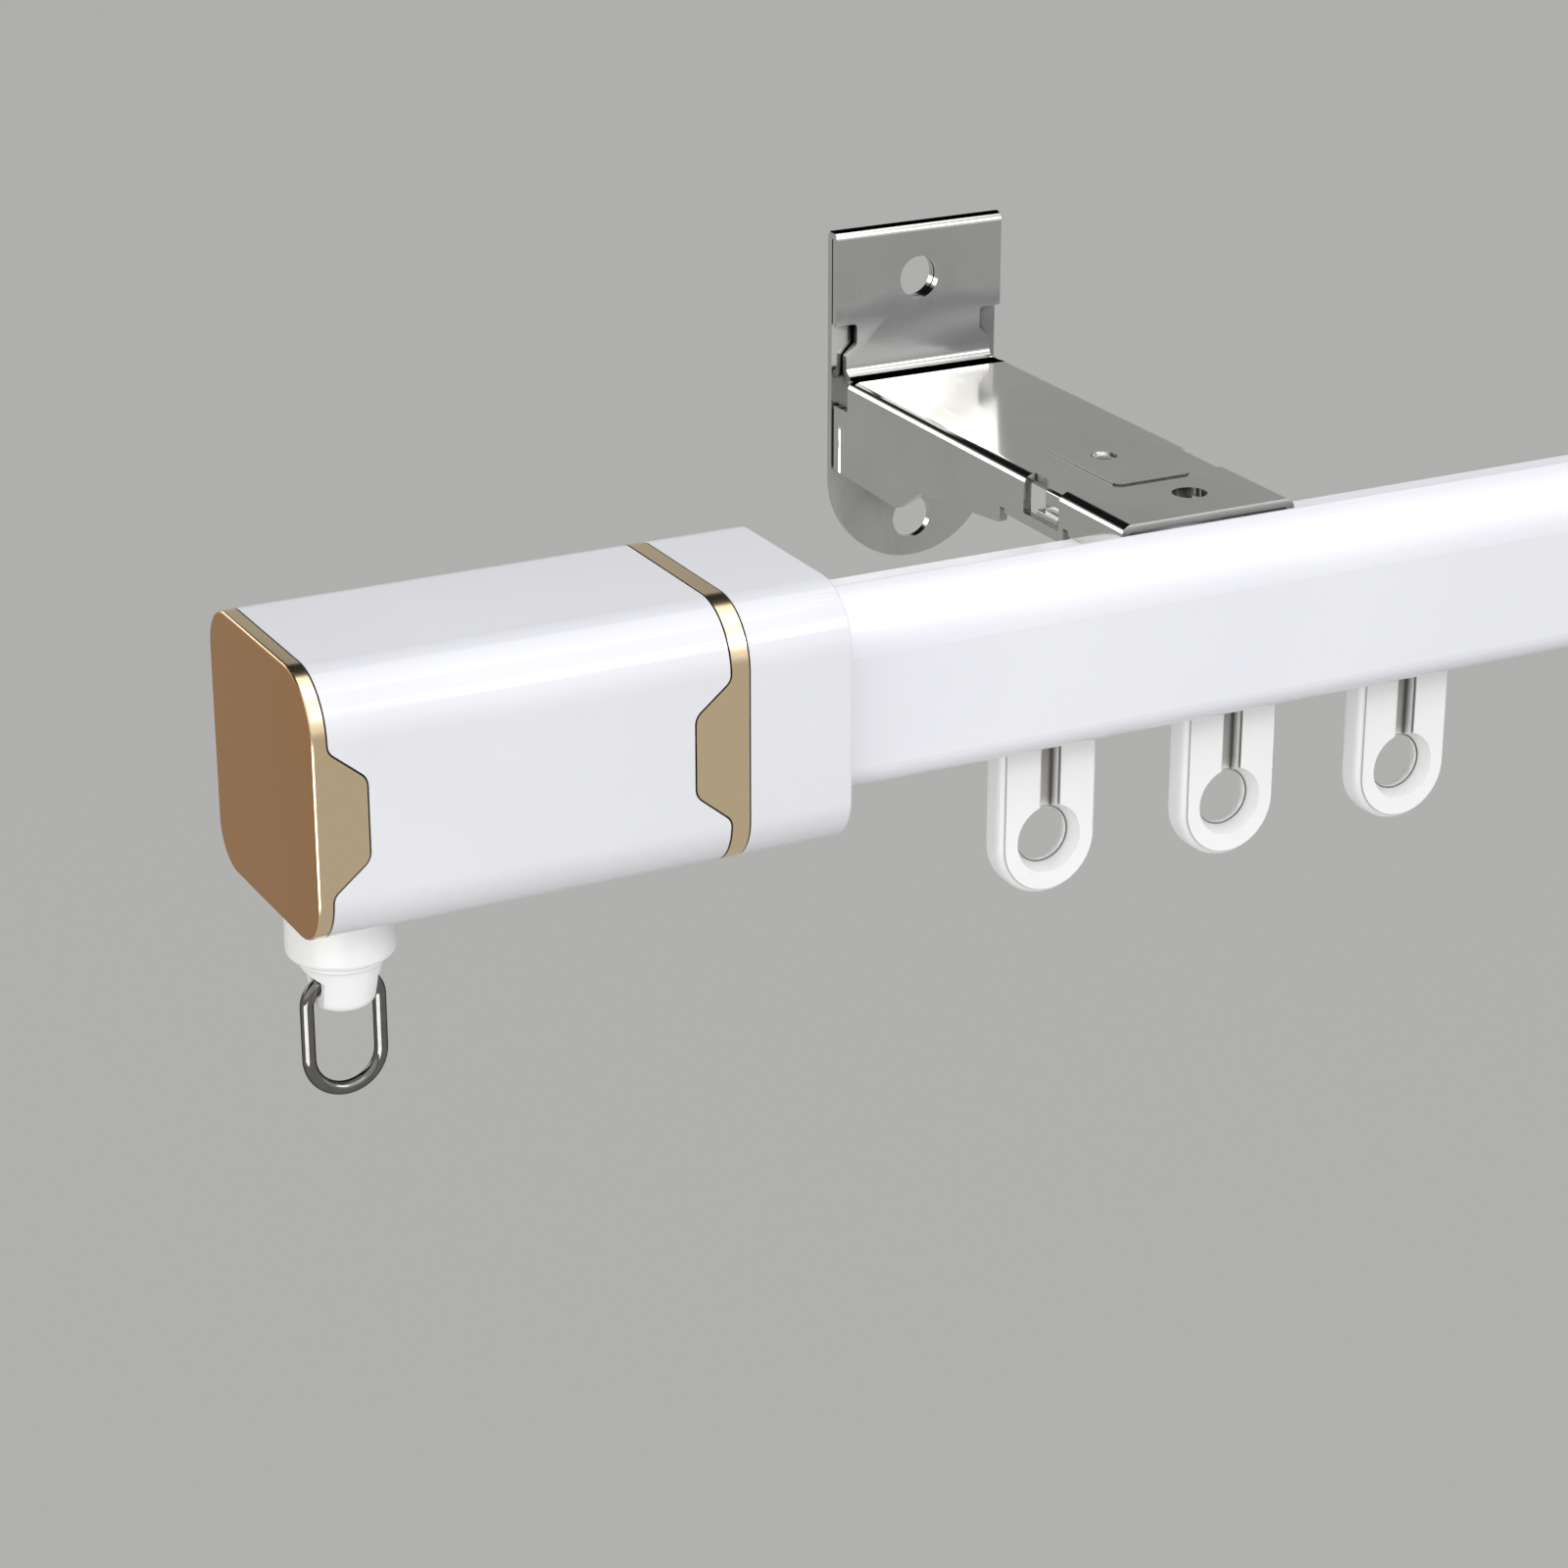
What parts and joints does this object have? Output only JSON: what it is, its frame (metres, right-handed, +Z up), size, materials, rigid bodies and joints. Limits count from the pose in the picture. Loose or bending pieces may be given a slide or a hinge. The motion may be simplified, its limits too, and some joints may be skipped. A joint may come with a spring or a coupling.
{
  "type": "curtain track",
  "caption": "Straight wall-mounted curtain track with wheeled gliders in a slotted rail, boxed finials with swivel rings, and clip-in brackets with sliding latches.",
  "frame": {"origin": "on the wall plane, in the middle of the four screw holes of the two brackets", "axes": "+X along the rail, +Y into the wall, +Z up"},
  "size_m": [0.6, 0.1208, 0.1004],
  "materials": {
    "white_coat": "satin white powder coat on the extrusion",
    "grey_liner": "matt",
    "white_moulding": "satin",
    "gold_trim": "gold plated, polished edges",
    "zinc_sheet": "bright zinc",
    "plated_wire": "polished",
    "bright_steel": "bright",
    "black_wheel": "gloss"
  },
  "bodies": {
    "track": {"rail": "white_coat", "rail_liner": "grey_liner", "left_end_plate": "gold_trim", "left_finial_shell": "white_moulding", "left_trim_band": "gold_trim", "left_finial_collar": "white_moulding", "left_swivel_base": "white_moulding", "left_bracket": "zinc_sheet", "left_latch_rivet": "zinc_sheet", "right_end_plate": "gold_trim", "right_finial_shell": "white_moulding", "right_trim_band": "gold_trim", "right_finial_collar": "white_moulding", "right_swivel_base": "white_moulding", "right_bracket": "zinc_sheet", "right_latch_rivet": "zinc_sheet"},
    "glider_1": {"glider_1_body": "white_moulding", "glider_1_insert": "bright_steel", "glider_1_axle": "bright_steel"},
    "glider_1_wheel_front_roll": {"glider_1_wheel_front": "black_wheel"},
    "glider_1_wheel_rear_roll": {"glider_1_wheel_rear": "black_wheel"},
    "glider_2": {"glider_2_body": "white_moulding", "glider_2_insert": "bright_steel", "glider_2_axle": "bright_steel"},
    "glider_2_wheel_front_roll": {"glider_2_wheel_front": "black_wheel"},
    "glider_2_wheel_rear_roll": {"glider_2_wheel_rear": "black_wheel"},
    "glider_3": {"glider_3_body": "white_moulding", "glider_3_insert": "bright_steel", "glider_3_axle": "bright_steel"},
    "glider_3_wheel_front_roll": {"glider_3_wheel_front": "black_wheel"},
    "glider_3_wheel_rear_roll": {"glider_3_wheel_rear": "black_wheel"},
    "glider_4": {"glider_4_body": "white_moulding", "glider_4_insert": "bright_steel", "glider_4_axle": "bright_steel"},
    "glider_4_wheel_front_roll": {"glider_4_wheel_front": "black_wheel"},
    "glider_4_wheel_rear_roll": {"glider_4_wheel_rear": "black_wheel"},
    "glider_5": {"glider_5_body": "white_moulding", "glider_5_insert": "bright_steel", "glider_5_axle": "bright_steel"},
    "glider_5_wheel_front_roll": {"glider_5_wheel_front": "black_wheel"},
    "glider_5_wheel_rear_roll": {"glider_5_wheel_rear": "black_wheel"},
    "glider_6": {"glider_6_body": "white_moulding", "glider_6_insert": "bright_steel", "glider_6_axle": "bright_steel"},
    "glider_6_wheel_front_roll": {"glider_6_wheel_front": "black_wheel"},
    "glider_6_wheel_rear_roll": {"glider_6_wheel_rear": "black_wheel"},
    "left_swivel": {"left_swivel_eye": "white_moulding"},
    "left_ring": {"left_hook_ring": "plated_wire"},
    "left_latch": {"left_latch": "zinc_sheet"},
    "right_swivel": {"right_swivel_eye": "white_moulding"},
    "right_ring": {"right_hook_ring": "plated_wire"},
    "right_latch": {"right_latch": "zinc_sheet"}
  },
  "joints": [
    {"name": "glider_1_slide", "type": "slide", "parent": "track", "child": "glider_1", "axis": [1, 0, 0], "range_m": [-0.037, 0.0084]},
    {"name": "glider_1_wheel_front_spin", "type": "hinge", "parent": "glider_1", "child": "glider_1_wheel_front_roll", "pos_m": [-0.1635, -0.1068, -0.01835], "axis": [0, 1, 0], "continuous": true},
    {"name": "glider_1_wheel_rear_spin", "type": "hinge", "parent": "glider_1", "child": "glider_1_wheel_rear_roll", "pos_m": [-0.1635, -0.0926, -0.01835], "axis": [0, 1, 0], "continuous": true},
    {"name": "glider_2_slide", "type": "slide", "parent": "track", "child": "glider_2", "axis": [1, 0, 0], "range_m": [-0.0084, 0.0084]},
    {"name": "glider_2_wheel_front_spin", "type": "hinge", "parent": "glider_2", "child": "glider_2_wheel_front_roll", "pos_m": [-0.1275, -0.1068, -0.01835], "axis": [0, 1, 0], "continuous": true},
    {"name": "glider_2_wheel_rear_spin", "type": "hinge", "parent": "glider_2", "child": "glider_2_wheel_rear_roll", "pos_m": [-0.1275, -0.0926, -0.01835], "axis": [0, 1, 0], "continuous": true},
    {"name": "glider_3_slide", "type": "slide", "parent": "track", "child": "glider_3", "axis": [1, 0, 0], "range_m": [-0.0084, 0.0815]},
    {"name": "glider_3_wheel_front_spin", "type": "hinge", "parent": "glider_3", "child": "glider_3_wheel_front_roll", "pos_m": [-0.0915, -0.1068, -0.01835], "axis": [0, 1, 0], "continuous": true},
    {"name": "glider_3_wheel_rear_spin", "type": "hinge", "parent": "glider_3", "child": "glider_3_wheel_rear_roll", "pos_m": [-0.0915, -0.0926, -0.01835], "axis": [0, 1, 0], "continuous": true},
    {"name": "glider_4_slide", "type": "slide", "parent": "track", "child": "glider_4", "axis": [1, 0, 0], "range_m": [-0.0815, 0.0084]},
    {"name": "glider_4_wheel_front_spin", "type": "hinge", "parent": "glider_4", "child": "glider_4_wheel_front_roll", "pos_m": [0.0915, -0.1068, -0.01835], "axis": [0, 1, 0], "continuous": true},
    {"name": "glider_4_wheel_rear_spin", "type": "hinge", "parent": "glider_4", "child": "glider_4_wheel_rear_roll", "pos_m": [0.0915, -0.0926, -0.01835], "axis": [0, 1, 0], "continuous": true},
    {"name": "glider_5_slide", "type": "slide", "parent": "track", "child": "glider_5", "axis": [1, 0, 0], "range_m": [-0.0084, 0.0084]},
    {"name": "glider_5_wheel_front_spin", "type": "hinge", "parent": "glider_5", "child": "glider_5_wheel_front_roll", "pos_m": [0.1275, -0.1068, -0.01835], "axis": [0, 1, 0], "continuous": true},
    {"name": "glider_5_wheel_rear_spin", "type": "hinge", "parent": "glider_5", "child": "glider_5_wheel_rear_roll", "pos_m": [0.1275, -0.0926, -0.01835], "axis": [0, 1, 0], "continuous": true},
    {"name": "glider_6_slide", "type": "slide", "parent": "track", "child": "glider_6", "axis": [1, 0, 0], "range_m": [-0.0084, 0.037]},
    {"name": "glider_6_wheel_front_spin", "type": "hinge", "parent": "glider_6", "child": "glider_6_wheel_front_roll", "pos_m": [0.1635, -0.1068, -0.01835], "axis": [0, 1, 0], "continuous": true},
    {"name": "glider_6_wheel_rear_spin", "type": "hinge", "parent": "glider_6", "child": "glider_6_wheel_rear_roll", "pos_m": [0.1635, -0.0926, -0.01835], "axis": [0, 1, 0], "continuous": true},
    {"name": "left_swivel_turn", "type": "hinge", "parent": "track", "child": "left_swivel", "pos_m": [-0.289, -0.0997, -0.0423], "axis": [0, 0, 1], "continuous": true},
    {"name": "left_ring_swing", "type": "hinge", "parent": "left_swivel", "child": "left_ring", "pos_m": [-0.289, -0.0997, -0.0466], "axis": [1, 0, 0], "range_deg": [-80, 80]},
    {"name": "right_swivel_turn", "type": "hinge", "parent": "track", "child": "right_swivel", "pos_m": [0.289, -0.0997, -0.0423], "axis": [0, 0, 1], "continuous": true},
    {"name": "right_ring_swing", "type": "hinge", "parent": "right_swivel", "child": "right_ring", "pos_m": [0.289, -0.0997, -0.0466], "axis": [1, 0, 0], "range_deg": [-80, 80]},
    {"name": "left_latch_slide", "type": "slide", "parent": "track", "child": "left_latch", "axis": [0, 1, 0], "range_m": [0, 0.004]},
    {"name": "right_latch_slide", "type": "slide", "parent": "track", "child": "right_latch", "axis": [0, 1, 0], "range_m": [0, 0.004]}
  ],
  "couplings": [
    {"joint": "glider_1_wheel_front_spin", "follows": "glider_1_slide", "rad_per_m": 160},
    {"joint": "glider_1_wheel_rear_spin", "follows": "glider_1_slide", "rad_per_m": 160},
    {"joint": "glider_2_wheel_front_spin", "follows": "glider_2_slide", "rad_per_m": 160},
    {"joint": "glider_2_wheel_rear_spin", "follows": "glider_2_slide", "rad_per_m": 160},
    {"joint": "glider_3_wheel_front_spin", "follows": "glider_3_slide", "rad_per_m": 160},
    {"joint": "glider_3_wheel_rear_spin", "follows": "glider_3_slide", "rad_per_m": 160},
    {"joint": "glider_4_wheel_front_spin", "follows": "glider_4_slide", "rad_per_m": 160},
    {"joint": "glider_4_wheel_rear_spin", "follows": "glider_4_slide", "rad_per_m": 160},
    {"joint": "glider_5_wheel_front_spin", "follows": "glider_5_slide", "rad_per_m": 160},
    {"joint": "glider_5_wheel_rear_spin", "follows": "glider_5_slide", "rad_per_m": 160},
    {"joint": "glider_6_wheel_front_spin", "follows": "glider_6_slide", "rad_per_m": 160},
    {"joint": "glider_6_wheel_rear_spin", "follows": "glider_6_slide", "rad_per_m": 160}
  ]
}
